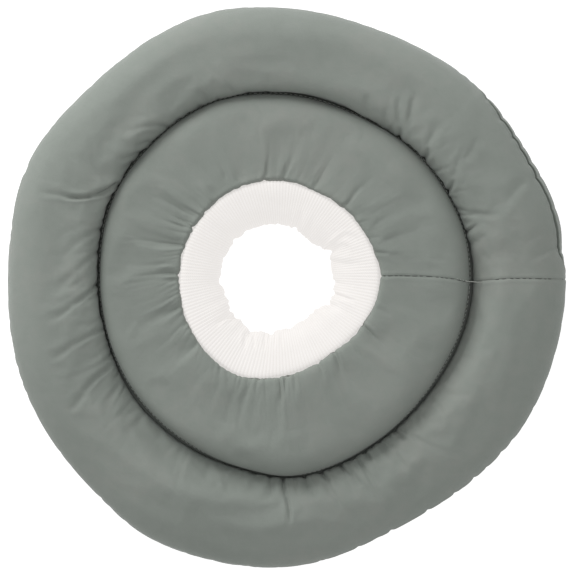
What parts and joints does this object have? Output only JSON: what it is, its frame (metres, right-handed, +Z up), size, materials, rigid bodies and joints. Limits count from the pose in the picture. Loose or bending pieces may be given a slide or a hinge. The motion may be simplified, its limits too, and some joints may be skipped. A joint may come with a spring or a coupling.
{
  "type": "padded ring elizabethan collar",
  "caption": "Flat padded recovery collar for a small pet: two stuffed fabric rings joined by a stitched channel, with a rib-knit elastic cuff round the neck hole.",
  "frame": {"origin": "middle of the collar's footprint, on the surface that it lies on", "axes": "+Z up out of the front face, towards the animal's nose when worn; +X towards the radial closing seam; +Y completes the frame"},
  "size_m": [0.3008, 0.3022, 0.0431],
  "materials": {
    "shell_fabric": "matte plain-woven polyester, grey-green",
    "rib_knit": "soft off-white rib knit"
  },
  "bodies": {
    "root": {"outer_ring": "shell_fabric", "inner_ring": "shell_fabric", "channel_seam": "shell_fabric", "neck_cuff": "rib_knit"}
  },
  "joints": []
}
